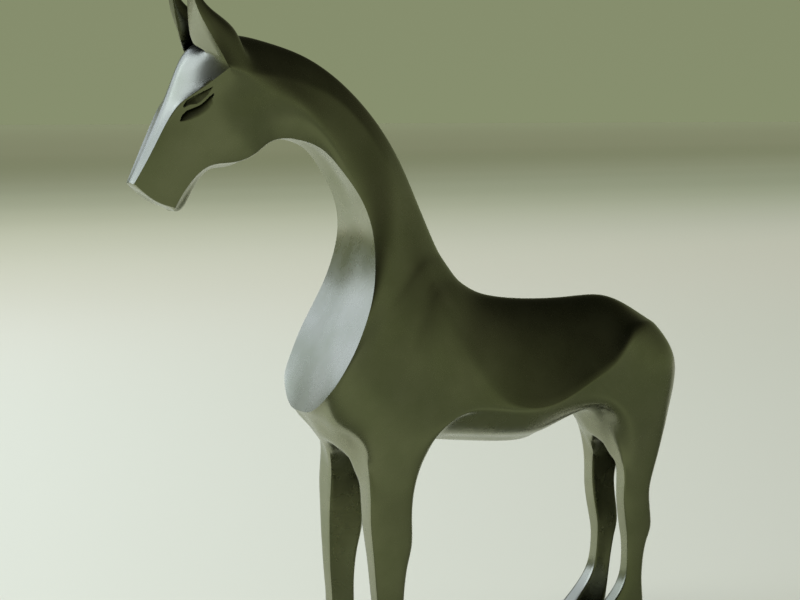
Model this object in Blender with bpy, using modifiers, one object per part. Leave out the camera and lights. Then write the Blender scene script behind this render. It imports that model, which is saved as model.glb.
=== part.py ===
"""Standing horse with a long arched neck: smooth planes and crisp edges, cast in one piece.

Metres, Z up. The horse faces -X with its left side towards -Y, and its four hooves stand on z = 0.
"""

import math

import bmesh
import bpy
import numpy as np
from mathutils import Matrix, Vector
from mathutils.bvhtree import BVHTree

# Overall size: ground to ear tips. Every control value below is in 300ths of the height.
HEIGHT = 0.300
UNIT = HEIGHT / 300

# Roundness of the surface, and how many triangles the solid keeps
LEVELS = 2
KEPT_SHARE = 0.375

# Rows of the half section, from the ridge of the back round the side to the centre of the belly
RIDGE, CROWN, EDGE, HIGH, LOW, KEEL, INNER, CENTRE = range(8)

# Eyes: two grooves with the closed lid between them. Middle (x, z), half length, half width, depth
EYE_SLOPE = 27
EYE_APPROACH = 50
UPPER_GROOVE = (-97.4, 247.95, 6.6, 1.0, 1.2)
LOWER_GROOVE = (-97.6, 243.2, 7.7, 1.5, 1.4)


def section(ridge, edge, widths, keel, centre, crown=0.3, inner=0.5, high=None, low=None, under=None):
    """Eight points of a half section. The two side points lie on the line from edge to keel, out at widths."""
    top = np.array([ridge[0], 0, ridge[1]], float)
    rim = np.array(edge, float)
    base = np.array(keel, float)
    middle = np.array([centre[0], 0, centre[1]], float)
    shoulder = top + (rim - top) * crown
    shoulder[1] = rim[1] * 0.5
    upper = rim + (base - rim) / 3
    upper[1] = widths[0]
    lower = rim + (base - rim) * 2 / 3
    lower[1] = widths[1]
    between = middle + (base - middle) * inner
    between[1] = base[1] * 0.5
    if high:
        upper = np.array(high, float)
    if low:
        lower = np.array(low, float)
    if under:
        between = np.array(under, float)
    return [top, shoulder, rim, upper, lower, base, between, middle]


# Head, from the muzzle to the poll
HEAD = {
    "muzzle": section((-120.5, 215.5), (-120.6, 2.8, 214.5), (3.4, 4.1), (-104, 4.8, 204.9), (-98.7, 204.5),
                      0.5, high=(-115.5, 3.4, 210.4), low=(-110, 4.1, 206.9)),
    "nostrils": section((-113.8, 225.5), (-113.5, 5.9, 224.8), (7, 7.4), (-99.3, 6.8, 213), (-92.8, 214.3),
                        0.5),
    "nose": section((-108.6, 235.5), (-108.2, 7.2, 234.8), (9.3, 9.8), (-91.3, 8.5, 220.8), (-86.5, 219.6),
                    0.5),
    "cheek": section((-104.6, 246), (-103.2, 9.3, 244.4), (11.3, 12), (-80.8, 9.3, 222.4), (-80, 220.5), 0.4),
    "eyes": section((-101.1, 256.2), (-96.5, 13.2, 250.5), (13.8, 13.6), (-71.7, 9.8, 225.6), (-71, 224.6)),
    "brow": section((-94.3, 267.3), (-86, 18, 259), (14.5, 13.4), (-63.6, 8.8, 230.6), (-62.9, 230.5), 0.2),
    "poll": section((-79, 272.3), (-74, 14, 258), (13.3, 11.8), (-52.3, 7.5, 231), (-51.7, 231.7), 0.2),
}

# Neck, from the throat down to the breast
NECK = {
    "throat": section((-61.7, 269.6), (-60, 11.5, 256), (12.5, 10.8), (-41, 8, 227), (-40.3, 227.3)),
    "neck1": section((-44.6, 264.1), (-47, 10, 252.5), (12, 11.2), (-32.3, 10, 217.5), (-31.2, 217.7)),
    "neck2": section((-28.1, 253.9), (-33, 9.2, 246), (11.4, 12.1), (-25, 12.4, 206), (-24.5, 206)),
    "neck3": section((-12.9, 239.1), (-19.5, 8.8, 233.5), (11.7, 13.8), (-21.7, 15.4, 193), (-22, 193)),
    "neck4": section((-1.1, 222), (-9.5, 8.8, 218.5), (13.3, 16.7), (-22.6, 19, 180), (-23.5, 180)),
    "neck5": section((8, 203.5), (-3.7, 10, 201), (16.2, 20.4), (-26.7, 23.1, 166.5), (-27.5, 166.5)),
    "neck6": section((15.8, 187.1), (1.2, 12.5, 184), (19, 23), (-33.3, 26, 151.5), (-33.7, 152)),
    "breast": section((19.6, 180.6), (3.3, 14, 178), (20.8, 24), (-39.1, 25.1, 140), (-39.9, 138.5)),
}

# Trunk, from the point of the breast to the rump
TRUNK = {
    "point": section((23.6, 175.3), (6, 15.5, 171), (22, 26), (-44, 21.6, 130.5), (-47.7, 119.6),
                     inner=0.15, high=(-9.5, 22.6, 155), low=(-29, 24.8, 137)),
    "arch": section((26.6, 171.7), (8, 16.8, 166.5), (23, 26), (-40, 17.4, 115.7), (-41.2, 113.7),
                    inner=0.5, high=(-7.5, 23.6, 146.5), low=(-26, 25, 121)),
    "elbow1": section((30.4, 168.6), (11.7, 18.3, 159.5), (24, 26), (-30.1, 17.6, 107.2), (-33.4, 105.2),
                      high=(-3.5, 24.6, 138), low=(-23.5, 24.3, 108), under=(-29.6, 8.7, 99.5)),
    "elbow2": section((36.7, 165.2), (18.1, 20.3, 147), (24, 26), (-10, 12, 103), (-14, 104),
                      high=(5, 24.8, 127), low=(-9, 25.2, 107)),
    "elbow3": section((44.5, 162.8), (26.6, 22.2, 134.5), (24, 26), (4, 17, 103.5), (6, 103.5),
                      high=(15, 24.8, 119), low=(2, 24.2, 106)),
    "girth": section((54, 161.3), (36.5, 23.5, 122.8), (24, 26), (19, 16, 107), (20, 101.6),
                     high=(27, 24.5, 118), low=(17, 22.5, 115)),
    "belly1": section((66, 160.3), (51, 24.3, 116.3), (24, 26), (50, 16.5, 104.2), (53, 98),
                      high=(50, 24.2, 114), low=(49, 22.5, 111)),
    "belly2": section((80, 160), (68, 24, 118.3), (24, 26), (70, 14.5, 106.5), (70, 101.6),
                      high=(69, 23.5, 115.5), low=(70, 21, 112)),
    "stifle1": section((92, 160.3), (85, 23, 126), (24, 26), (88.5, 15.5, 111.6), (89, 109.2),
                       high=(87.5, 22.6, 120.5), low=(90, 21, 115)),
    "stifle2": section((104, 160), (98.5, 21.5, 133.5), (24, 26), (100, 12.9, 103), (99.8, 96.5),
                       high=(101.5, 21.5, 119), low=(105, 20, 105), under=(103.2, 5.4, 92.6)),
    "haunch": section((116, 155.9), (110.5, 18, 144), (24, 26), (112, 9, 95), (113, 96),
                      high=(114, 20.5, 122), low=(117, 19, 103)),
    "rump": section((128.5, 148.5), (126.4, 11.5, 145.8), (24, 26), (130, 11, 98), (127, 94),
                    high=(134.3, 15.5, 130.2), low=(131, 16.4, 108)),
}

# Centre-line points (x, z) that close the two ends, from the top down
MUZZLE_END = [(-120.3, 213.9), (-115.3, 210.4), (-109.8, 206.9), (-104.3, 204.3)]
RUMP_END = [(135.5, 141.5), (140.3, 129.5), (139, 113.5), (134, 101)]

# Legs: height, front x, back x, outer y, inner y at the front and at the back, from the top down
FORE_LEG = [
    (90, -27.2, -4.7, 23.2, 12.2, 12.2),
    (76, -26.9, -7.1, 23.5, 14.1, 12.8),
    (64, -26.2, -7.4, 24.1, 15.8, 13.4),
    (55, -25.5, -9.6, 24.3, 16.9, 14.4),
    (42, -24.5, -11.5, 24.4, 17.8, 15.3),
    (28, -24, -11.6, 24.4, 17.8, 15.4),
    (18, -28.5, -11.2, 24.7, 16.6, 14.4),
    (9, -34, -11.8, 25.2, 15.2, 13.6),
    (0, -37.5, -12, 25.8, 13.8, 12.8),
]
HIND_LEG = [
    (84, 107, 125.8, 15.9, 8.8, 7),
    (70, 107.5, 122.2, 15.8, 9, 7.2),
    (56, 109.6, 123.9, 15, 8.4, 7.4),
    (48, 110.6, 121.9, 14.6, 8.9, 7.3),
    (39, 110.4, 119.7, 14.9, 9.4, 7.6),
    (29, 107.8, 118.6, 15.8, 9.3, 7.5),
    (19, 99.5, 119, 16.3, 8.4, 7),
    (9, 90.5, 117.8, 17.1, 6.9, 5.9),
    (0, 86.5, 117, 18, 5.6, 4.8),
]

# Ears: rings of four corners from the root to the tip, inner front, outer front, outer back, inner back
EAR = [
    [(-96, 5.5, 269), (-91.3, 15, 270), (-81.2, 13, 272.3), (-82.8, 5, 275.4)],
    [(-98, 6, 279), (-96, 13.5, 279), (-90.2, 12.4, 280.5), (-91.4, 6.5, 282)],
    [(-99, 7.5, 288), (-98.6, 11.8, 288), (-96.2, 11.4, 288.5), (-96.6, 8, 289)],
    [(-100.2, 8.9, 297.5), (-99.8, 9.6, 297.5), (-99.2, 9.6, 297.5), (-99.2, 9.0, 297.5)],
]

# Crispness of the upper edge and of the keel edge at each section, from 0 for round to 1 for sharp
UPPER_CRISP = {
    "muzzle": 1, "nostrils": 1, "nose": 1, "cheek": 1, "eyes": 1, "brow": 0.9, "poll": 0.9,
    "throat": 0.8, "neck1": 0.7, "neck2": 0.6, "neck3": 0.5, "neck4": 0.4, "neck5": 0.35,
    "neck6": 0.35, "breast": 0.4, "point": 0.45, "arch": 0.5, "elbow1": 0.6, "elbow2": 0.75,
    "elbow3": 0.85, "girth": 0.9, "belly1": 0.9, "belly2": 0.9, "stifle1": 0.85, "stifle2": 0.65,
    "haunch": 0.35,
}
KEEL_CRISP = {
    "muzzle": 0.8, "nostrils": 0.8, "nose": 0.7, "cheek": 0.6, "eyes": 0.6, "brow": 0.7, "poll": 1,
    "throat": 1, "neck1": 1, "neck2": 1, "neck3": 1, "neck4": 1, "neck5": 1, "neck6": 1, "breast": 1,
    "point": 0.2, "arch": 0.4, "stifle1": 0.4,
}
LOW_CRISP = {"elbow3": 0.25, "girth": 0.4, "belly1": 0.2}

# Patina: colour, share of bare metal, roughness
PATINA = (0.075, 0.085, 0.035, 1)
METAL_SHARE = 0.6
SHEEN = 0.32


class Cage:
    """Control points, faces and edge crispness of the left or right half."""

    def __init__(self):
        self.points = []
        self.faces = []
        self.crisp = {}

    def add(self, point):
        self.points.append(tuple(float(value) for value in point))
        return len(self.points) - 1

    def face(self, *corners):
        self.faces.append(tuple(corners))

    def edge(self, a, b, value):
        if value:
            self.crisp[tuple(sorted((a, b)))] = value


def leg_ring(height, front, back, outer, inner_front, inner_back):
    """Eight points round a leg: flat outer and inner faces, a flat front strip and a slanting back."""
    deep = back - front
    wide = outer - inner_back
    return [
        (front + 0.24 * deep, outer, height),
        (front + 0.6 * deep, outer, height),
        (back, outer - 0.12 * wide, height),
        (back - 0.06 * deep, outer - 0.5 * wide, height),
        (back - 0.22 * deep, inner_back, height),
        (front + 0.42 * deep, (inner_front + inner_back) / 2, height),
        (front + 0.02 * deep, inner_front, height),
        (front, outer - 0.08 * wide, height),
    ]


def add_body(cage, sections):
    """The skin over all sections, open where the legs and ears leave it."""
    names = list(sections)
    at = {name: [cage.add(point) for point in sections[name]] for name in names}
    open_rows = {
        "elbow1": (LOW, KEEL), "elbow2": (LOW, KEEL), "stifle2": (LOW, KEEL), "haunch": (LOW, KEEL),
        "brow": (CROWN,),
    }
    for name, after in zip(names, names[1:]):
        for row in range(CENTRE):
            if row in open_rows.get(name, ()):
                continue
            cage.face(at[after][row], at[after][row + 1], at[name][row + 1], at[name][row])
        cage.edge(at[name][EDGE], at[after][EDGE], UPPER_CRISP.get(name, 0))
        cage.edge(at[name][KEEL], at[after][KEEL], KEEL_CRISP.get(name, 0))
        cage.edge(at[name][LOW], at[after][LOW], LOW_CRISP.get(name, 0))
    return at


def add_end(cage, ring, middle, faces_forward):
    """Closes one end with faces between the last section and points on the centre line."""
    inside = [cage.add((x, 0, z)) for x, z in middle]
    faces = [
        (ring[RIDGE], ring[CROWN], ring[EDGE], inside[0]),
        (inside[0], ring[EDGE], ring[HIGH], inside[1]),
        (inside[1], ring[HIGH], ring[LOW], inside[2]),
        (inside[2], ring[LOW], ring[KEEL], inside[3]),
        (inside[3], ring[KEEL], ring[INNER], ring[CENTRE]),
    ]
    for corners in faces:
        cage.face(*(corners if faces_forward else corners[::-1]))


def add_leg(cage, front, middle, back, rings):
    """One leg from its opening in the body down to a flat sole with a crisp rim."""
    outside = [front[LOW], middle[LOW], back[LOW], back[KEEL]]
    inside = [back[INNER], middle[INNER], front[INNER], front[KEEL]]
    ring = outside + inside
    columns = [ring]
    for measures in rings:
        below = [cage.add(point) for point in leg_ring(*measures)]
        for i in range(8):
            j = (i + 1) % 8
            cage.face(ring[j], below[j], below[i], ring[i])
        ring = below
        columns.append(ring)
    centre = cage.add(np.mean([cage.points[i] for i in ring], axis=0))
    for i in (7, 1, 3, 5):
        cage.face(ring[(i + 1) % 8], ring[(i + 2) % 8], centre, ring[i])
    for i in range(8):
        cage.edge(ring[i], ring[(i + 1) % 8], 1.0)
    for upper, lower in zip(columns, columns[1:]):
        cage.edge(upper[7], lower[7], 0.45)
        cage.edge(upper[6], lower[6], 0.3)


def add_ear(cage, before, after):
    """A pointed ear on the opening in the poll, hollow in front between its two crisp rims."""
    ring = [before[CROWN], before[EDGE], after[EDGE], after[CROWN]]
    cage.edge(ring[0], ring[1], 0.3)
    for corners in EAR:
        above = [cage.add(point) for point in corners]
        for i in range(4):
            j = (i + 1) % 4
            cage.face(above[i], above[j], ring[j], ring[i])
        cage.edge(ring[0], above[0], 0.7)
        cage.edge(ring[1], above[1], 0.9)
        ring = above
    cage.face(*ring[::-1])


def horse_cage():
    cage = Cage()
    at = add_body(cage, {**HEAD, **NECK, **TRUNK})
    add_end(cage, at["muzzle"], MUZZLE_END, True)
    add_end(cage, at["rump"], RUMP_END, False)
    add_leg(cage, at["elbow1"], at["elbow2"], at["elbow3"], FORE_LEG)
    add_leg(cage, at["stifle2"], at["haunch"], at["rump"], HIND_LEG)
    add_ear(cage, at["brow"], at["poll"])
    cage.edge(at["point"][KEEL], at["point"][INNER], 1)
    cage.edge(at["point"][INNER], at["point"][CENTRE], 1)
    for row in range(KEEL + 1):
        cage.edge(at["muzzle"][row], at["muzzle"][row + 1], 0.7)
    return without_spare_points(cage)


def without_spare_points(cage):
    """The cage without the points that only marked the opening of a leg."""
    used = sorted({i for corners in cage.faces for i in corners})
    new = {old: i for i, old in enumerate(used)}
    cage.points = [cage.points[i] for i in used]
    cage.faces = [tuple(new[i] for i in corners) for corners in cage.faces]
    cage.crisp = {tuple(sorted((new[a], new[b]))): value for (a, b), value in cage.crisp.items()}
    return cage


def half_object(name, points, cage, collection, levels):
    """The half cage with the modifiers that mirror it and make it smooth."""
    mesh = bpy.data.meshes.new(name)
    mesh.from_pydata([tuple(point) for point in points], [], cage.faces)
    mesh.update()
    crease = mesh.attributes.new("crease_edge", "FLOAT", "EDGE")
    for edge in mesh.edges:
        crease.data[edge.index].value = cage.crisp.get(tuple(sorted(edge.vertices)), 0.0)
    obj = bpy.data.objects.new(name, mesh)
    collection.objects.link(obj)
    mirror = obj.modifiers.new("Both sides", "MIRROR")
    mirror.use_axis = (False, True, False)
    mirror.use_clip = True
    mirror.merge_threshold = 0.00001
    smooth = obj.modifiers.new("Smooth skin", "SUBSURF")
    smooth.levels = levels
    smooth.render_levels = levels
    return obj


def evaluated_points(obj):
    graph = bpy.context.evaluated_depsgraph_get()
    graph.update()
    evaluated = obj.evaluated_get(graph)
    mesh = evaluated.to_mesh()
    flat = np.empty(len(mesh.vertices) * 3, np.float32)
    mesh.vertices.foreach_get("co", flat)
    evaluated.to_mesh_clear()
    return flat.reshape(-1, 3).astype(float)


def through_points(cage, collection, rounds=6):
    """Moves the control points until the smooth surface passes through the points that the sections give."""
    wanted = np.array(cage.points) * UNIT
    moved = wanted.copy()
    trial = half_object("trial", moved, cage, collection, 1)
    for _ in range(rounds):
        trial.data.vertices.foreach_set("co", moved.astype(np.float32).ravel())
        trial.data.update()
        gap = wanted - evaluated_points(trial)[: len(wanted)]
        gap[wanted[:, 1] < 1e-9, 1] = 0
        moved = moved + 0.9 * gap
    bpy.data.objects.remove(trial)
    return moved


def add_groove(name, measures, side, shift, surface, cutters):
    """A stretched ball that cuts one groove of an eye into the cheek, square to the skin there."""
    x, z, long, wide, deep = (value * UNIT for value in measures)
    start = Vector((x - shift, side * EYE_APPROACH * UNIT, z))
    place, normal, _, _ = surface.ray_cast(start, Vector((0, -side, 0)))
    slope = math.radians(EYE_SLOPE)
    along = Vector((math.cos(slope), 0, math.sin(slope)))
    along = (along - normal * along.dot(normal)).normalized()
    across = normal.cross(along)
    mesh = bpy.data.meshes.new(name)
    ball = bmesh.new()
    bmesh.ops.create_uvsphere(ball, u_segments=20, v_segments=10, radius=1)
    turn = Matrix((along * long, normal * deep, across * wide)).transposed().to_4x4()
    bmesh.ops.transform(ball, matrix=Matrix.Translation(place) @ turn, verts=ball.verts)
    bmesh.ops.recalc_face_normals(ball, faces=ball.faces)
    ball.to_mesh(mesh)
    ball.free()
    cutter = bpy.data.objects.new(name, mesh)
    cutter.hide_render = True
    cutter.display_type = "WIRE"
    cutters.objects.link(cutter)


def carve_eyes(obj, shift, cutters):
    """Cuts both grooves of both eyes."""
    graph = bpy.context.evaluated_depsgraph_get()
    surface = BVHTree.FromObject(obj, graph)
    for side in (-1, 1):
        for name, measures in (("upper", UPPER_GROOVE), ("lower", LOWER_GROOVE)):
            label = f"eye_{name}_{'left' if side < 0 else 'right'}"
            add_groove(label, measures, side, shift, surface, cutters)
    cut = obj.modifiers.new("Eyes", "BOOLEAN")
    cut.operation = "DIFFERENCE"
    cut.solver = "EXACT"
    cut.operand_type = "COLLECTION"
    cut.collection = cutters


def bronze():
    material = bpy.data.materials.new("patinated_bronze")
    material.use_nodes = True
    shader = material.node_tree.nodes["Principled BSDF"]
    shader.inputs["Base Color"].default_value = PATINA
    shader.inputs["Metallic"].default_value = METAL_SHARE
    shader.inputs["Roughness"].default_value = SHEEN
    return material


def main():
    for old in list(bpy.data.objects):
        bpy.data.objects.remove(old)
    figure = bpy.data.collections.new("horse_figure")
    bpy.context.scene.collection.children.link(figure)
    cutters = bpy.data.collections.new("cutters")
    bpy.context.scene.collection.children.link(cutters)
    cutters.hide_render = True

    cage = horse_cage()
    points = through_points(cage, figure)
    obj = half_object("horse", points, cage, figure, LEVELS)
    ends = evaluated_points(obj)
    shift = (ends[:, 0].min() + ends[:, 0].max()) / 2
    for vertex in obj.data.vertices:
        vertex.co.x -= shift
    obj.data.polygons.foreach_set("use_smooth", [True] * len(obj.data.polygons))
    fewer = obj.modifiers.new("Fewer triangles", "DECIMATE")
    fewer.ratio = KEPT_SHARE
    fewer.use_symmetry = True
    fewer.symmetry_axis = "Y"
    obj.data.materials.append(bronze())
    carve_eyes(obj, shift, cutters)


main()
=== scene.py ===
"""Standing horse figure with a satin, dark olive patina, on a pale floor in soft studio light."""

import math

import bmesh
import bpy
import numpy as np
from mathutils import Matrix, Vector
from mathutils.bvhtree import BVHTree
from mathutils.interpolate import poly_3d_calc


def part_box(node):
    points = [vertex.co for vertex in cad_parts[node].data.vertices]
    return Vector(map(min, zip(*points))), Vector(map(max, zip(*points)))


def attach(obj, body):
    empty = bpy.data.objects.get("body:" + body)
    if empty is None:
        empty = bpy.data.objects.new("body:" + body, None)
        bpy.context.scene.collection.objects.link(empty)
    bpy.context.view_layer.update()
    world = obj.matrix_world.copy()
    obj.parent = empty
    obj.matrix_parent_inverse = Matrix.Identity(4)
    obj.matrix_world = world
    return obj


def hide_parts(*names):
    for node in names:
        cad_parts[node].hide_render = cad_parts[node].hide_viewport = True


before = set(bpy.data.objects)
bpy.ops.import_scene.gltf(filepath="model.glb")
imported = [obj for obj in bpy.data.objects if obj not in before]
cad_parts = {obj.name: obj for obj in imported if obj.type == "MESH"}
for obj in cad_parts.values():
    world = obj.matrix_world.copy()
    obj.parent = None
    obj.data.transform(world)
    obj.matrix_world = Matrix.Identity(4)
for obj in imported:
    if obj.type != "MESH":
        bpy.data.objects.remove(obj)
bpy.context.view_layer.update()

# Overall size: ground to ear tips. Every control value below is in 300ths of the height.
HEIGHT = 0.300
UNIT = HEIGHT / 300

# Smooth skin: its levels, the distance within which the halves join, the angle from which an edge is drawn
# sharp, and how the skin is fitted to the sections
LEVELS = 3
JOIN_WITHIN = 0.00001
SHARP_ANGLE = 34
FIT_ROUNDS = 6
FIT_STEP = 0.9

# Camera: degrees from the side view towards the head, degrees above the horizon, distance, what it looks at,
# its lens, and the nearest thing that it sees
CAMERA_TURN = 30
CAMERA_RISE = 6
CAMERA_AWAY = 0.760
AIM = (-0.0101, 0, 0.163)
LENS = 81
SENSOR = 36
NEAREST = 0.01

# Patina: scale, detail and roughness of its clouds, its uneven sheen and its grain, the tones of the clouds,
# the roughness that the sheen goes between, and how deep the grain is
CLOUDS = (38, 4, 0.55)
SHEEN = (120, 3, 0.5)
GRAIN = (1400, 2, 0.5)
CLOUD_TONES = [
    (0.32, (0.265, 0.275, 0.180)),
    (0.68, (0.325, 0.325, 0.232)),
]
SHEEN_SPREAD = (0.3, 0.7)
ROUGHNESS = (0.25, 0.31)
GRAIN_STRENGTH = 0.05
GRAIN_DEPTH = 0.0002

# Painted shade in recesses, darkening the patina's colour: how far it looks for other surfaces, the openness
# between which it darkens, and the share of its tone that is left in the deepest ones
RECESS_SHADE_REACH = 0.03
RECESS_SHADE_SAMPLES = 8
RECESS_SHADE_OPENNESS = (0.45, 0.9)
RECESS_SHADE_SHARE = 0.22

# Floor: size, finish, the way along which it darkens, how far that reaches, and its tones on that way; the
# darkening is a painted fall-off of light, from pale near the figure to the olive of the room
FLOOR_SIZE = 60
FLOOR_ROUGHNESS = 0.9
FLOOR_SPECULAR = 0.1
FLOOR_WAY = (-0.10, 0.995, 0)
FLOOR_REACH = 24
FLOOR_TONES_AND_PAINTED_FALLOFF = [
    (0.03, (0.636, 0.660, 0.562)),
    (0.058, (0.660, 0.672, 0.575)),
    (0.09, (0.630, 0.650, 0.545)),
    (0.122, (0.515, 0.540, 0.428)),
    (0.148, (0.408, 0.435, 0.328)),
    (0.18, (0.325, 0.350, 0.252)),
    (0.214, (0.272, 0.293, 0.200)),
    (0.27, (0.232, 0.252, 0.160)),
    (0.37, (0.240, 0.257, 0.164)),
    (0.95, (0.268, 0.292, 0.187)),
]

# Shade on the right of the floor: the point that it turns round, its strength by shares of a turn,
# and its tones along the floor's way
SHADE_FOOT = (-0.388, -0.655, 0)
SHADE_TURN = [(0.2, (0, 0, 0)), (0.45, (1, 1, 1)), (0.60, (1, 1, 1)), (0.70, (0, 0, 0))]
SHADE_TONES = [
    (0.04, (0.78, 0.77, 0.78)),
    (0.07, (0.74, 0.74, 0.74)),
    (0.09, (0.64, 0.65, 0.64)),
    (0.115, (0.57, 0.60, 0.55)),
    (0.145, (0.62, 0.65, 0.59)),
    (0.2, (0.92, 0.93, 0.90)),
    (0.235, (1, 1, 1)),
]

# Olive glow on the near side, a painted reflection of dim ground seen in the metal alone: where it starts,
# its size and height, where it darkens along X, and between which distances it comes to full strength; the
# weaker glow close to the figure is a painted shadow
GROUND_EDGE = -0.018
GROUND_SIZE = 30
GROUND_LIFT = 0.0005
GROUND_BRIGHT = 0.14
GROUND_DARK = 0.34
GROUND_FALL = 0.64
GROUND_NEAR = 0.03
GROUND_FULL = 0.25
GROUND_SHADE = 0.5
GROUND_REFLECTION_COLOUR = (0.29, 0.325, 0.205)

# Light boxes round the front: bearing from the far side towards the head, rise, half angles, brightness
BOX_AWAY = 1.6
BOX_AIM = (-0.05, 0, 0.20)
BOX_COLOUR = (0.86, 0.96, 1.33)
FRONT_BOX = (69.5, 29, 27.5, 19, 2.0)
SIDE_BOX = (26, 25.5, 18, 16.5, 1.35)

# Even light on the floor, and the room round it
OVERHEAD_POWER = 2.9
OVERHEAD_AIM = (0.25, -0.2, -1)
OVERHEAD_SPREAD = 70
OVERHEAD_COLOUR = (1.0, 1.0, 0.96)
ROOM_TONES = [
    (0.0, (0.242, 0.275, 0.156)),
    (0.08, (0.237, 0.268, 0.152)),
    (0.19, (0.160, 0.176, 0.104)),
    (0.36, (0.085, 0.090, 0.052)),
    (0.45, (0.060, 0.063, 0.038)),
    (0.56, (0.035, 0.036, 0.023)),
    (0.72, (0.022, 0.023, 0.015)),
    (0.9, (0.012, 0.013, 0.008)),
]

# Rows of the half section, from the ridge of the back round the side to the centre of the belly
RIDGE, CROWN, EDGE, HIGH, LOW, KEEL, INNER, CENTRE = range(8)


def section(ridge, edge, keel, centre, widths=None, crown=0.3, inner=0.5, high=None, low=None, under=None):
    """Eight points of one half section. The two points of the side are high and low, or else they lie on the
    line from edge to keel, moved out to widths.
    """
    top = np.array([ridge[0], 0, ridge[1]], float)
    rim = np.array(edge, float)
    base = np.array(keel, float)
    middle = np.array([centre[0], 0, centre[1]], float)
    shoulder = top + (rim - top) * crown
    shoulder[1] = rim[1] * 0.5
    upper = rim + (base - rim) / 3
    lower = rim + (base - rim) * 2 / 3
    between = middle + (base - middle) * inner
    between[1] = base[1] * 0.5
    if widths:
        upper[1], lower[1] = widths
    if high:
        upper = np.array(high, float)
    if low:
        lower = np.array(low, float)
    if under:
        between = np.array(under, float)
    return [top, shoulder, rim, upper, lower, base, between, middle]


# Head, from the muzzle to the poll
HEAD = {
    "muzzle": section((-120.5, 215.5), (-120.4, 4, 214.4), (-104, 4.9, 204.9), (-98.7, 204.5),
                      crown=0.5, high=(-115.5, 4.3, 210.4), low=(-110, 4.6, 206.9)),
    "nostrils": section((-115.1, 225.5), (-114.9, 6.1, 224.8), (-99.3, 6.8, 213), (-92.8, 214.3), (7, 7.4),
                        crown=0.5),
    "nose": section((-110.3, 235.5), (-109.8, 7.3, 234.8), (-91.3, 8.5, 220.8), (-86.5, 219.6), (9.1, 9.8),
                    crown=0.5),
    "cheek": section((-105.5, 246), (-104, 9.3, 244.4), (-80.8, 9.3, 222.4), (-80, 220.5), (11.3, 12),
                     crown=0.4),
    "eyes": section((-101.2, 256.2), (-96.5, 13.2, 250.5), (-71.7, 9.8, 225.6), (-71, 224.6), (13.8, 13.6)),
    "brow": section((-94.3, 267.3), (-86, 18, 259), (-63.6, 8.8, 230.6), (-62.9, 230.5), (14.5, 13.4),
                    crown=0.2),
    "poll": section((-79, 272.3), (-74, 14, 258), (-52.3, 7.5, 231), (-51.7, 231.7), (13.3, 11.8), crown=0.2),
}

# Neck, from the throat down to the breast
NECK = {
    "throat": section((-61.7, 269.6), (-59.4, 10.5, 256), (-41, 8, 227), (-40.3, 227.3), (11.8, 10.8)),
    "neck1": section((-44.6, 264.1), (-45.8, 8, 252.5), (-32.3, 10, 217.5), (-31.2, 217.7), (9.7, 10.4)),
    "neck2": section((-28.1, 253.9), (-31.7, 7, 246), (-25, 12.4, 206), (-24.5, 206), (9.2, 11)),
    "neck3": section((-12.9, 239.1), (-19, 8, 233.5), (-21.7, 15.4, 193), (-22, 193), (10.8, 13.4)),
    "neck4": section((-1.1, 222), (-9.5, 8.8, 218.5), (-22.6, 19, 180), (-23.5, 180), (13.3, 16.7)),
    "neck5": section((8, 203.5), (-3.7, 10, 201), (-26.3, 23.1, 166.5), (-27.1, 166.5), (16.2, 20.4)),
    "neck6": section((15.8, 187.1), (1.2, 12.5, 184), (-33.3, 26, 151.5), (-33.7, 152), (19, 23)),
    "breast": section((19.6, 180.6), (3.3, 14, 178), (-39.1, 25.1, 140), (-39.9, 138.5), (20.8, 24)),
}

# Trunk, from the point of the breast to the rump
TRUNK = {
    "point": section((23.6, 175.3), (6, 15.5, 171), (-44, 21.6, 130.5), (-47.7, 119.6),
                     inner=0.15, high=(-9.5, 22.6, 155), low=(-29, 24.8, 137)),
    "arch": section((26.6, 171.7), (8, 16.8, 166.5), (-40, 17.4, 115.7), (-41.2, 113.7),
                    high=(-7.5, 23.6, 146.5), low=(-26, 25, 121)),
    "elbow1": section((30.4, 168.6), (11.7, 18.3, 159.5), (-30.1, 17.6, 107.2), (-33.4, 105.2),
                      high=(-3.5, 24.6, 138), low=(-23.5, 24.3, 108), under=(-29.6, 8.7, 99.5)),
    "elbow2": section((36.7, 165.2), (18.1, 20.3, 147), (-10, 12, 103), (-14, 104),
                      high=(5, 24.8, 127), low=(-9, 25.2, 107)),
    "elbow3": section((44.5, 162.8), (26.6, 22.2, 134.5), (4, 17, 103.5), (6, 103.5),
                      high=(15, 24.8, 119), low=(2, 24.2, 106)),
    "girth": section((54, 161.3), (36.5, 23.5, 122.8), (19, 16, 107), (20, 101.6),
                     high=(27, 24.5, 118), low=(17, 22.5, 115)),
    "belly1": section((66, 160.3), (51, 24.3, 116.3), (50, 16.5, 104.2), (53, 98),
                      high=(50, 24.2, 114), low=(49, 22.5, 111)),
    "belly2": section((80, 160), (68, 24, 118.3), (70, 14.5, 106.5), (70, 101.6),
                      high=(69, 23.5, 115.5), low=(70, 21, 112)),
    "stifle1": section((92, 160.3), (85, 23, 126), (88.5, 15.5, 111.6), (89, 109.2),
                       high=(87.5, 22.6, 120.5), low=(90, 21, 115)),
    "stifle2": section((104, 160), (98.5, 21.5, 133.5), (100, 12.9, 103), (99.8, 96.5),
                       high=(101.5, 21.5, 119), low=(105, 20, 105), under=(103.2, 5.4, 92.6)),
    "haunch": section((116, 155.9), (110.5, 18, 144), (112, 9, 95), (113, 96),
                      high=(114, 20.5, 122), low=(117, 19, 103)),
    "rump": section((128.5, 148.5), (126.4, 11.5, 145.8), (130, 11, 98), (127, 94),
                    high=(134.3, 15.5, 130.2), low=(131, 16.4, 108)),
}

# Centre-line points (x, z) that close the two ends, from the top down
MUZZLE_END = [(-120.3, 213.9), (-115.3, 210.4), (-109.8, 206.9), (-104.3, 204.3)]
RUMP_END = [(135.5, 141.5), (140.3, 129.5), (139, 113.5), (134, 101)]

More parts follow.
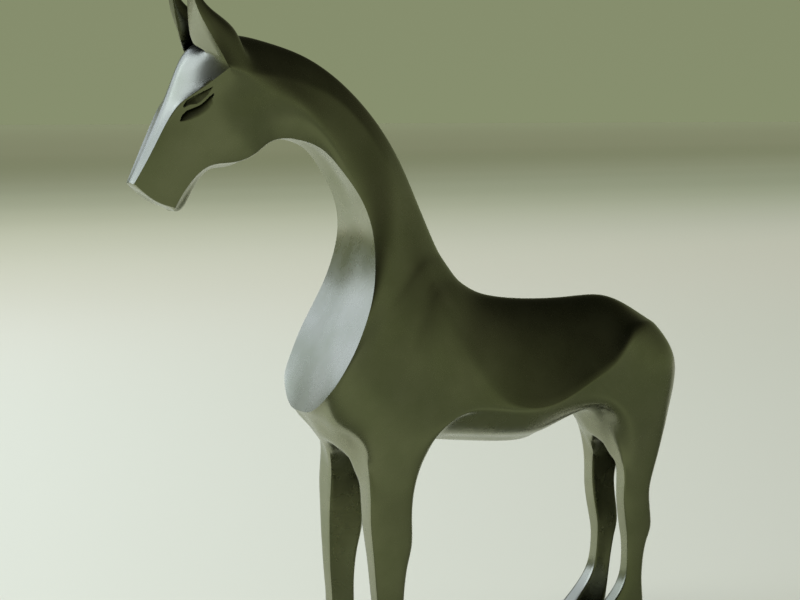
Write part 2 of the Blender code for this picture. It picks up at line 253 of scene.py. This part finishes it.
# Legs from the top ring to the ground: height, front x, back x, outer y, inner y at the front and at the back
FORE_LEG = [
    (90, -27.2, -4.7, 23.2, 12.2, 10.7),
    (76, -26.9, -7.1, 23.5, 14.1, 11.3),
    (64, -26.2, -7.4, 24.1, 15.8, 11.9),
    (55, -25.5, -9.6, 24.3, 16.9, 12.9),
    (42, -24.5, -11.5, 24.4, 17.8, 13.8),
    (28, -24, -11.6, 24.4, 17.8, 13.9),
    (18, -28.5, -11.2, 24.7, 16.6, 12.9),
    (9, -34, -11.8, 25.2, 15.2, 12.1),
    (0, -37.5, -12, 25.8, 13.8, 11.3),
]
HIND_LEG = [
    (84, 107, 125.8, 15.9, 8.8, 6),
    (70, 107.5, 122.2, 15.8, 9, 6.2),
    (56, 109.6, 123.9, 15, 8.4, 6.4),
    (48, 110.6, 121.9, 14.6, 8.9, 6.3),
    (39, 110.4, 119.7, 14.9, 9.4, 6.6),
    (29, 107.8, 118.6, 15.8, 9.3, 6.5),
    (19, 99.5, 119, 16.3, 8.4, 6),
    (9, 90.5, 117.8, 17.1, 6.9, 4.9),
    (0, 86.5, 117, 18, 5.6, 3.8),
]

# Ears: rings of four corners from the root to the tip, inner front, outer front, outer back, inner back
EAR = [
    [(-96, 5.5, 269), (-91.3, 15, 270), (-81.2, 13, 272.3), (-82.8, 5, 275.4)],
    [(-98, 6, 279), (-96, 13.5, 279), (-90.2, 12.4, 280.5), (-91.4, 6.5, 282)],
    [(-99, 7.5, 288), (-98.6, 11.8, 288), (-96.2, 11.4, 288.5), (-96.6, 8, 289)],
    [(-100.2, 8.9, 297.5), (-99.8, 9.6, 297.5), (-99.2, 9.6, 297.5), (-99.2, 9.0, 297.5)],
]

# Crispness of the upper edge and of the keel edge at each section, from 0 for round to 1 for sharp
UPPER_CRISP = {
    "muzzle": 1, "nostrils": 1, "nose": 1, "cheek": 1, "eyes": 1, "brow": 0.9, "poll": 0.9,
    "throat": 0.8, "neck1": 0.7, "neck2": 0.6, "neck3": 0.5, "neck4": 0.4, "neck5": 0.35,
    "neck6": 0.35, "breast": 0.4, "point": 0.45, "arch": 0.5, "elbow1": 0.6, "elbow2": 0.75,
    "elbow3": 0.85, "girth": 0.9, "belly1": 0.9, "belly2": 0.9, "stifle1": 0.85, "stifle2": 0.65,
    "haunch": 0.35,
}
KEEL_CRISP = {
    "muzzle": 0.8, "nostrils": 0.8, "nose": 0.7, "cheek": 0.6, "eyes": 0.6, "brow": 0.7, "poll": 1,
    "throat": 1, "neck1": 1, "neck2": 1, "neck3": 1, "neck4": 1, "neck5": 1, "neck6": 1, "breast": 1,
    "point": 0.2, "arch": 0.4, "stifle1": 0.4,
}
LOW_CRISP = {"elbow3": 0.25, "girth": 0.4, "belly1": 0.2}

# Crispness of the other edges: round the muzzle, along the legs by place in the ring, and at the ear's root,
# inner rim and outer rim
MUZZLE_CRISP = 0.7
LEG_CRISP = {7: 0.45, 6: 0.5, 4: 0.5}
EAR_ROOT_CRISP = 0.3
EAR_CRISP = (0.7, 0.9)

# Eyes: middle (x, z) and slope of their length on the cheek, then lines (along, across) of the carving
EYE_MIDDLE = (-97.5, 245.5)
EYE_SLOPE = 27
UPPER_TOP = [(-5.0, 0.4), (-4.2, 1.4), (-2.6, 2.4), (0, 2.75), (5, 2.85), (8.3, 2.9)]
UPPER_BOTTOM = [
    (-5.0, 0.4), (-3.7, 0.3), (-2.1, 0.3), (0.2, -0.6), (1.9, -0.4), (3.7, 0.2), (5.6, 0.9), (8.3, 2.9),
]
LOWER_TOP = [
    (-8.4, -3.7), (-6.5, -1.9), (-4.0, -1.2), (-1.3, -1.35), (0.3, -1.45), (1.9, -1.25), (3.7, -0.7),
    (5.6, 0.0), (7.9, 0.4),
]
LOWER_BOTTOM = [
    (-8.4, -3.7), (-6.5, -4.6), (-4.0, -5.2), (-0.8, -5.4), (1.4, -5.1), (3.7, -4.5), (5.8, -3.3), (7.9, 0.4),
]

# The two grooves of an eye: upper line, lower line, greatest depth, and how fast it falls off downwards
GROOVES = [
    (UPPER_TOP, UPPER_BOTTOM, 1.5, 1.0),
    (LOWER_TOP, LOWER_BOTTOM, 1.8, 1.6),
]

# Skin round the eyes: the areas (along from, to, across from, to) that are cut finer and that can be carved,
# their least distance from the middle of the head, cuts and usual length of a face, and how far the new
# points are bent onto the smooth surface
FINE_AREA = (-10.5, 10.5, -7.5, 4.6)
CARVED_AREA = (-9, 9, -6, 3.4)
EYE_OFF_MIDDLE = 4
EYE_CUTS = 5
FACE_LENGTH = 1.3
BENDING = 0.75


class Cage:
    """Control points, faces and crisp edges of one half of the figure."""

    def __init__(self):
        self.points = []
        self.faces = []
        self.crisp = {}

    def add(self, point):
        self.points.append(tuple(float(value) for value in point))
        return len(self.points) - 1

    def face(self, *corners):
        self.faces.append(tuple(corners))

    def edge(self, a, b, value):
        if value:
            self.crisp[tuple(sorted((a, b)))] = value


def leg_ring(height, front, back, outer, inner_front, inner_back):
    """Eight points round a leg: two on the flat outer face, three on the back that slants inwards, two on the
    flat inner face, and one at the front.
    """
    deep = back - front
    wide = outer - inner_back
    return [
        (front + 0.24 * deep, outer, height),
        (front + 0.6 * deep, outer, height),
        (back, outer - 0.12 * wide, height),
        (back - 0.06 * deep, outer - 0.5 * wide, height),
        (back - 0.28 * deep, inner_back, height),
        (front + 0.42 * deep, (inner_front + inner_back) / 2, height),
        (front + 0.02 * deep, inner_front, height),
        (front, outer - 0.08 * wide, height),
    ]


def add_body(cage, sections):
    """The skin over all sections, open where the legs and ears leave it."""
    names = list(sections)
    at = {name: [cage.add(point) for point in sections[name]] for name in names}
    open_rows = {
        "elbow1": (LOW, KEEL), "elbow2": (LOW, KEEL), "stifle2": (LOW, KEEL), "haunch": (LOW, KEEL),
        "brow": (CROWN,),
    }
    for name, after in zip(names, names[1:]):
        for row in range(CENTRE):
            if row in open_rows.get(name, ()):
                continue
            cage.face(at[after][row], at[after][row + 1], at[name][row + 1], at[name][row])
        cage.edge(at[name][EDGE], at[after][EDGE], UPPER_CRISP.get(name, 0))
        cage.edge(at[name][KEEL], at[after][KEEL], KEEL_CRISP.get(name, 0))
        cage.edge(at[name][LOW], at[after][LOW], LOW_CRISP.get(name, 0))
    return at


def add_end(cage, ring, middle, faces_forward):
    """Closes one end with faces between the last section and points on the centre line."""
    inside = [cage.add((x, 0, z)) for x, z in middle]
    faces = [
        (ring[RIDGE], ring[CROWN], ring[EDGE], inside[0]),
        (inside[0], ring[EDGE], ring[HIGH], inside[1]),
        (inside[1], ring[HIGH], ring[LOW], inside[2]),
        (inside[2], ring[LOW], ring[KEEL], inside[3]),
        (inside[3], ring[KEEL], ring[INNER], ring[CENTRE]),
    ]
    for corners in faces:
        cage.face(*(corners if faces_forward else corners[::-1]))


def add_leg(cage, front, middle, back, rings):
    """One leg from its opening in the body down to a flat sole with a crisp rim."""
    outside = [front[LOW], middle[LOW], back[LOW], back[KEEL]]
    inside = [back[INNER], middle[INNER], front[INNER], front[KEEL]]
    ring = outside + inside
    columns = [ring]
    for measures in rings:
        below = [cage.add(point) for point in leg_ring(*measures)]
        for i in range(8):
            j = (i + 1) % 8
            cage.face(ring[j], below[j], below[i], ring[i])
        ring = below
        columns.append(ring)
    centre = cage.add(np.mean([cage.points[i] for i in ring], axis=0))
    for i in range(-1, 6, 2):
        cage.face(ring[(i + 1) % 8], ring[(i + 2) % 8], centre, ring[i])
    for i in range(8):
        cage.edge(ring[i], ring[(i + 1) % 8], 1.0)
    for upper, lower in zip(columns, columns[1:]):
        for place, value in LEG_CRISP.items():
            cage.edge(upper[place], lower[place], value)


def add_ear(cage, before, after):
    """A pointed ear on the opening in the poll, hollow in front between its two crisp rims."""
    ring = [before[CROWN], before[EDGE], after[EDGE], after[CROWN]]
    cage.edge(ring[0], ring[1], EAR_ROOT_CRISP)
    for corners in EAR:
        above = [cage.add(point) for point in corners]
        for i in range(4):
            j = (i + 1) % 4
            cage.face(above[i], above[j], ring[j], ring[i])
        for i, value in enumerate(EAR_CRISP):
            cage.edge(ring[i], above[i], value)
        ring = above
    cage.face(*ring[::-1])


def horse_cage():
    """The cage of one half: body, ends, legs and ear."""
    cage = Cage()
    at = add_body(cage, {**HEAD, **NECK, **TRUNK})
    add_end(cage, at["muzzle"], MUZZLE_END, True)
    add_end(cage, at["rump"], RUMP_END, False)
    add_leg(cage, at["elbow1"], at["elbow2"], at["elbow3"], FORE_LEG)
    add_leg(cage, at["stifle2"], at["haunch"], at["rump"], HIND_LEG)
    add_ear(cage, at["brow"], at["poll"])
    cage.edge(at["point"][KEEL], at["point"][INNER], 1)
    cage.edge(at["point"][INNER], at["point"][CENTRE], 1)
    for row in range(KEEL + 1):
        cage.edge(at["muzzle"][row], at["muzzle"][row + 1], MUZZLE_CRISP)
    return without_spare_points(cage)


def without_spare_points(cage):
    """The cage without the points that only marked the opening of a leg."""
    used = sorted({i for corners in cage.faces for i in corners})
    new = {old: i for i, old in enumerate(used)}
    cage.points = [cage.points[i] for i in used]
    cage.faces = [tuple(new[i] for i in corners) for corners in cage.faces]
    cage.crisp = {tuple(sorted((new[a], new[b]))): value for (a, b), value in cage.crisp.items()}
    return cage


def half_object(name, points, cage, levels):
    """The half cage with the modifiers that mirror it and make it smooth."""
    mesh = bpy.data.meshes.new(name)
    mesh.from_pydata([tuple(point) for point in points], [], cage.faces)
    mesh.update()
    crease = mesh.attributes.new("crease_edge", "FLOAT", "EDGE")
    for edge in mesh.edges:
        crease.data[edge.index].value = cage.crisp.get(tuple(sorted(edge.vertices)), 0.0)
    obj = bpy.data.objects.new(name, mesh)
    bpy.context.scene.collection.objects.link(obj)
    mirror = obj.modifiers.new("Both sides", "MIRROR")
    mirror.use_axis = (False, True, False)
    mirror.use_clip = True
    mirror.merge_threshold = JOIN_WITHIN
    smooth = obj.modifiers.new("Smooth skin", "SUBSURF")
    smooth.levels = levels
    smooth.render_levels = levels
    return obj


def evaluated_points(obj):
    """The points of the object's surface with its modifiers in force."""
    graph = bpy.context.evaluated_depsgraph_get()
    graph.update()
    evaluated = obj.evaluated_get(graph)
    mesh = evaluated.to_mesh()
    flat = np.empty(len(mesh.vertices) * 3, np.float32)
    mesh.vertices.foreach_get("co", flat)
    evaluated.to_mesh_clear()
    return flat.reshape(-1, 3).astype(float)


def through_points(cage):
    """Control points, moved until the smooth surface passes through the points that the sections give."""
    wanted = np.array(cage.points) * UNIT
    moved = wanted.copy()
    trial = half_object("trial", moved, cage, 1)
    for _ in range(FIT_ROUNDS):
        trial.data.vertices.foreach_set("co", moved.astype(np.float32).ravel())
        trial.data.update()
        gap = wanted - evaluated_points(trial)[: len(wanted)]
        gap[wanted[:, 1] < 1e-9, 1] = 0
        moved = moved + FIT_STEP * gap
    bpy.data.objects.remove(trial)
    return moved


def smooth_skin():
    """The whole figure as one mesh, placed in the frame's own box, and how far it was shifted along X."""
    cage = horse_cage()
    cage_object = half_object("cage", through_points(cage), cage, LEVELS)
    points = evaluated_points(cage_object)
    low, high = (np.array(corner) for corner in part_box("horse"))
    own_low, own_high = points.min(axis=0), points.max(axis=0)
    shift = (low[0] + high[0]) / 2 - (own_low[0] + own_high[0]) / 2
    fit = np.minimum(1, (high - low) / (own_high - own_low))
    graph = bpy.context.evaluated_depsgraph_get()
    mesh = bpy.data.meshes.new_from_object(cage_object.evaluated_get(graph))
    mesh.name = "horse_figure"
    mesh.transform(Matrix.Diagonal((*fit, 1)) @ Matrix.Translation((shift, 0, 0)))
    bpy.data.objects.remove(cage_object)
    return mesh, shift


def on_line(line, u):
    """Height of a line of (along, across) points at u."""
    return float(np.interp(u, [point[0] for point in line], [point[1] for point in line]))


def eye_place(point, shift):
    """Where a point of the cheek lies along and across the eye, in 300ths of the height."""
    slope = math.radians(EYE_SLOPE)
    x = (point[0] - shift) / UNIT - EYE_MIDDLE[0]
    z = point[2] / UNIT - EYE_MIDDLE[1]
    return x * math.cos(slope) + z * math.sin(slope), z * math.cos(slope) - x * math.sin(slope)


def carved_depth(u, v):
    """Depth of the carving: each groove falls straight in at its upper line and rises to its lower one."""
    depth = 0
    for top, bottom, deepest, bend in GROOVES:
        start, end = top[0][0], top[-1][0]
        high, low = on_line(top, u), on_line(bottom, u)
        if start < u < end and low < v < high - 1e-4:
            widest = max(on_line(top, at) - on_line(bottom, at) for at in np.linspace(start, end, 20))
            rise = ((v - low) / (high - low)) ** bend
            depth = max(depth, deepest * rise * math.sqrt((high - low) / widest))
    return depth


def in_area(point, shift, area):
    """Whether a point of the cheek is in an area of the eye."""
    u, v = eye_place(point, shift)
    return area[0] < u < area[1] and area[2] < v < area[3] and abs(point.y) > EYE_OFF_MIDDLE * UNIT


def refine_eyes(mesh, shift):
    """Cuts the faces round both eyes finer and bends the new points onto the smooth surface."""
    work = bmesh.new()
    work.from_mesh(mesh)
    work.faces.ensure_lookup_table()
    work.normal_update()
    surface = BVHTree.FromBMesh(work)
    corners = [[vertex.co.copy() for vertex in face.verts] for face in work.faces]
    normals = [[vertex.normal.copy() for vertex in face.verts] for face in work.faces]
    area = [face for face in work.faces if in_area(face.calc_center_median(), shift, FINE_AREA)]
    edges = list({edge for face in area for edge in face.edges})
    old = set(work.verts)
    bmesh.ops.subdivide_edges(work, edges=edges, cuts=EYE_CUTS, use_grid_fill=True)
    for vertex in work.verts:
        if vertex in old:
            continue
        place, _, index, _ = surface.find_nearest(vertex.co)
        weights = poly_3d_calc(corners[index], place)
        pull = Vector((0, 0, 0))
        for weight, corner, normal in zip(weights, corners[index], normals[index]):
            pull += weight * (corner - vertex.co).dot(normal) * normal
        vertex.co += BENDING * pull
    work.normal_update()
    return work


def carve_eyes(mesh, shift):
    """Carves the two grooves of each closed eye, with the lid between them."""
    work = refine_eyes(mesh, shift)
    step = FACE_LENGTH / (EYE_CUTS + 1)
    slope = math.radians(EYE_SLOPE)
    straight = Vector((-math.sin(slope), 0, math.cos(slope)))
    moves = []
    for vertex in work.verts:
        if not in_area(vertex.co, shift, CARVED_AREA):
            continue
        u, v = eye_place(vertex.co, shift)
        across = straight - vertex.normal * straight.dot(vertex.normal)
        across /= across.dot(straight)
        slide = 0
        for line in (UPPER_TOP, LOWER_TOP):
            gap = on_line(line, u) - v
            if line[0][0] < u < line[-1][0] and abs(gap) < 0.5 * step:
                slide = gap
        depth = carved_depth(u, v + slide)
        moves.append((vertex, across * slide * UNIT - vertex.normal * depth * UNIT))
    for vertex, move in moves:
        vertex.co += move
    work.to_mesh(mesh)
    work.free()


def link(nodes, output, socket):
    """Joins an output to an input socket."""
    nodes.id_data.links.new(output, socket)


def noise(nodes, coordinates, scale, detail, roughness):
    """A noise texture on the object's own coordinates."""
    texture = nodes.new("ShaderNodeTexNoise")
    texture.inputs["Scale"].default_value = scale
    texture.inputs["Detail"].default_value = detail
    texture.inputs["Roughness"].default_value = roughness
    link(nodes, coordinates, texture.inputs["Vector"])
    return texture.outputs["Fac"]


def ranged(nodes, value, low, high, to_low, to_high):
    """The value, carried from one range to another with soft ends."""
    reach = nodes.new("ShaderNodeMapRange")
    reach.interpolation_type = "SMOOTHSTEP"
    for name, number in (("From Min", low), ("From Max", high), ("To Min", to_low), ("To Max", to_high)):
        reach.inputs[name].default_value = number
    link(nodes, value, reach.inputs["Value"])
    return reach.outputs["Result"]


def vector_node(nodes, operation, vector, other=None):
    """A vector calculation on the vector and, where there is one, on a constant."""
    node = nodes.new("ShaderNodeVectorMath")
    node.operation = operation
    link(nodes, vector, node.inputs[0])
    if other:
        node.inputs[1].default_value = other
    return node


def product(nodes, first, second):
    """Both values multiplied."""
    node = nodes.new("ShaderNodeMath")
    node.operation = "MULTIPLY"
    link(nodes, first, node.inputs[0])
    link(nodes, second, node.inputs[1])
    return node.outputs["Value"]


def toned(nodes, value, stops, interpolation="LINEAR"):
    """The value as a colour, from a ramp of stops that each have a position and a colour."""
    node = nodes.new("ShaderNodeValToRGB")
    ramp = node.color_ramp
    ramp.interpolation = interpolation
    while len(ramp.elements) < len(stops):
        ramp.elements.new(0.5)
    for element, (position, colour) in zip(ramp.elements, stops):
        element.position = position
        element.color = (*colour, 1)
    link(nodes, value, node.inputs["Fac"])
    return node.outputs["Color"]


def node_material(name):
    """A new material and its nodes."""
    material = bpy.data.materials.new(name)
    material.use_nodes = True
    return material, material.node_tree.nodes


def patina_and_painted_shade():
    """Satin, dark olive patina on metal: cloudy in tone, with painted shade that darkens its colour in
    recesses, a little uneven in its sheen, with a very fine grain.
    """
    material, nodes = node_material("olive_patina_painted_shade")
    shader = nodes["Principled BSDF"]
    shader.inputs["Metallic"].default_value = 1.0
    place = nodes.new("ShaderNodeTexCoord").outputs["Object"]

    # Painted shade: the patina's colour is darkened where other surfaces are near, as if shade fell in
    # recesses
    occlusion_shade = nodes.new("ShaderNodeAmbientOcclusion")
    occlusion_shade.samples = RECESS_SHADE_SAMPLES
    occlusion_shade.inputs["Distance"].default_value = RECESS_SHADE_REACH
    clouds = noise(nodes, place, *CLOUDS)
    patina_and_shade = vector_node(nodes, "SCALE", toned(nodes, clouds, CLOUD_TONES))
    link(nodes, ranged(nodes, occlusion_shade.outputs["AO"], *RECESS_SHADE_OPENNESS, RECESS_SHADE_SHARE, 1), patina_and_shade.inputs["Scale"])
    link(nodes, patina_and_shade.outputs["Vector"], shader.inputs["Base Color"])

    sheen = noise(nodes, place, *SHEEN)
    link(nodes, ranged(nodes, sheen, *SHEEN_SPREAD, *ROUGHNESS), shader.inputs["Roughness"])

    bump = nodes.new("ShaderNodeBump")
    bump.inputs["Strength"].default_value = GRAIN_STRENGTH
    bump.inputs["Distance"].default_value = GRAIN_DEPTH
    link(nodes, noise(nodes, place, *GRAIN), bump.inputs["Height"])
    link(nodes, bump.outputs["Normal"], shader.inputs["Normal"])
    return material


def figure():
    """The figure in its patina with painted shade in recesses, in place of the frame's own solid."""
    mesh, shift = smooth_skin()
    carve_eyes(mesh, shift)
    mesh.shade_smooth()
    mesh.set_sharp_from_angle(angle=math.radians(SHARP_ANGLE))
    mesh.materials.clear()
    mesh.materials.append(patina_and_painted_shade())
    obj = bpy.data.objects.new("horse_figure", mesh)
    bpy.context.scene.collection.objects.link(obj)
    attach(obj, "root")
    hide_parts("horse")


def floor_material():
    """Pale floor with a painted fall-off of light to the olive of the room in the distance, and a painted
    shade on the right.
    """
    material, nodes = node_material("pale_floor")
    shader = nodes["Principled BSDF"]
    shader.inputs["Roughness"].default_value = FLOOR_ROUGHNESS
    shader.inputs["Specular IOR Level"].default_value = FLOOR_SPECULAR
    place = nodes.new("ShaderNodeTexCoord").outputs["Object"]
    far = nodes.new("ShaderNodeMapRange")
    far.inputs["From Max"].default_value = FLOOR_REACH
    link(nodes, vector_node(nodes, "DOT_PRODUCT", place, FLOOR_WAY).outputs["Value"], far.inputs["Value"])
    along = far.outputs["Result"]

    turn = nodes.new("ShaderNodeTexGradient")
    turn.gradient_type = "RADIAL"
    from_foot = vector_node(nodes, "SUBTRACT", place, SHADE_FOOT).outputs["Vector"]
    link(nodes, from_foot, turn.inputs["Vector"])
    shaded = nodes.new("ShaderNodeMixRGB")
    shaded.blend_type = "MULTIPLY"
    link(nodes, toned(nodes, turn.outputs["Fac"], SHADE_TURN), shaded.inputs["Fac"])
    # Painted fall-off of light: the floor's colour goes from pale near the figure to the olive of the room
    # far along its way
    link(nodes, toned(nodes, along, FLOOR_TONES_AND_PAINTED_FALLOFF, "CARDINAL"), shaded.inputs["Color1"])
    link(nodes, toned(nodes, along, SHADE_TONES), shaded.inputs["Color2"])
    link(nodes, shaded.outputs["Color"], shader.inputs["Base Color"])
    return material


def add_floor():
    """A wide, flat floor under the hooves."""
    bpy.ops.mesh.primitive_plane_add(size=FLOOR_SIZE, location=(0, 0, 0))
    floor = bpy.context.object
    floor.name = "floor"
    floor.data.materials.append(floor_material())


def painted_reflection_material():
    """Olive glow, a painted reflection of dim ground, that darkens along X and comes to full strength away
    from the figure, with a painted shadow close to it.
    """
    material, nodes = node_material("olive_ground_painted_reflection")
    nodes.remove(nodes["Principled BSDF"])
    glow = nodes.new("ShaderNodeEmission")
    glow.inputs["Color"].default_value = (*GROUND_REFLECTION_COLOUR, 1)
    split = nodes.new("ShaderNodeSeparateXYZ")
    link(nodes, nodes.new("ShaderNodeTexCoord").outputs["Object"], split.inputs["Vector"])
    # Painted shade in the glow: darker along X, and weaker close to the figure as a painted shadow
    along = ranged(nodes, split.outputs["X"], GROUND_BRIGHT, GROUND_DARK, 1, GROUND_FALL)
    inner = GROUND_SIZE / 2 - GROUND_EDGE
    away = ranged(nodes, split.outputs["Y"], inner - GROUND_FULL, inner - GROUND_NEAR, 1, GROUND_SHADE)
    link(nodes, product(nodes, along, away), glow.inputs["Strength"])
    link(nodes, glow.outputs["Emission"], nodes["Material Output"].inputs["Surface"])
    return material


def add_painted_reflection_ground():
    """Glowing sheet on the near side of the figure, a painted reflection of dim ground seen in the metal
    alone.
    """
    middle = (0, GROUND_EDGE - GROUND_SIZE / 2, GROUND_LIFT)
    bpy.ops.mesh.primitive_plane_add(size=GROUND_SIZE, location=middle)
    ground = bpy.context.object
    ground.name = "near_ground_painted_reflection"
    ground.visible_camera = False
    ground.visible_diffuse = False
    ground.visible_shadow = False
    ground.visible_transmission = False
    ground.data.materials.append(painted_reflection_material())


def add_box(name, bearing, rise, half_wide, half_high, brightness):
    """A soft light box, which doesn't show in the picture itself."""
    bearing, rise = math.radians(bearing), math.radians(rise)
    out = Vector((-math.sin(bearing) * math.cos(rise), math.cos(bearing) * math.cos(rise), math.sin(rise)))
    light = bpy.data.lights.new(name, "AREA")
    light.shape = "RECTANGLE"
    light.size = 2 * BOX_AWAY * math.tan(math.radians(half_wide))
    light.size_y = 2 * BOX_AWAY * math.tan(math.radians(half_high))
    light.energy = brightness * math.pi * light.size * light.size_y
    light.color = BOX_COLOUR
    obj = bpy.data.objects.new(name, light)
    obj.location = Vector(BOX_AIM) + out * BOX_AWAY
    obj.rotation_mode = "QUATERNION"
    obj.rotation_quaternion = (-out).to_track_quat("-Z", "Y")
    obj.visible_camera = False
    bpy.context.scene.collection.objects.link(obj)


def add_overhead():
    """Wide, even light from above that brightens the floor but doesn't show in the metal."""
    light = bpy.data.lights.new("overhead", "SUN")
    light.energy = OVERHEAD_POWER
    light.angle = math.radians(OVERHEAD_SPREAD)
    light.color = OVERHEAD_COLOUR
    obj = bpy.data.objects.new("overhead", light)
    obj.rotation_mode = "QUATERNION"
    obj.rotation_quaternion = Vector(OVERHEAD_AIM).to_track_quat("-Z", "Y")
    obj.visible_glossy = False
    bpy.context.scene.collection.objects.link(obj)


def add_world():
    """An olive room up to eye level that goes dark overhead."""
    world = bpy.data.worlds.new("studio")
    bpy.context.scene.world = world
    world.use_nodes = True
    nodes = world.node_tree.nodes
    split = nodes.new("ShaderNodeSeparateXYZ")
    link(nodes, nodes.new("ShaderNodeTexCoord").outputs["Generated"], split.inputs["Vector"])
    link(nodes, toned(nodes, split.outputs["Z"], ROOM_TONES), nodes["Background"].inputs["Color"])


def add_camera():
    """The camera at the picture's viewing angle."""
    turn = math.radians(CAMERA_TURN)
    rise = math.radians(CAMERA_RISE)
    back = Vector((-math.sin(turn) * math.cos(rise), -math.cos(turn) * math.cos(rise), math.sin(rise)))
    camera = bpy.data.objects.new("camera", bpy.data.cameras.new("camera"))
    camera.data.lens = LENS
    camera.data.sensor_width = SENSOR
    camera.data.clip_start = NEAREST
    camera.location = Vector(AIM) + back * CAMERA_AWAY
    camera.rotation_mode = "QUATERNION"
    camera.rotation_quaternion = (-back).to_track_quat("-Z", "Y")
    bpy.context.scene.collection.objects.link(camera)
    bpy.context.scene.camera = camera


def add_studio():
    """The room, the two light boxes and the light from above."""
    bpy.context.scene.view_settings.view_transform = "Standard"
    add_world()
    add_box("front_box", *FRONT_BOX)
    add_box("side_box", *SIDE_BOX)
    add_overhead()


figure()
add_floor()
add_painted_reflection_ground()
add_studio()
add_camera()
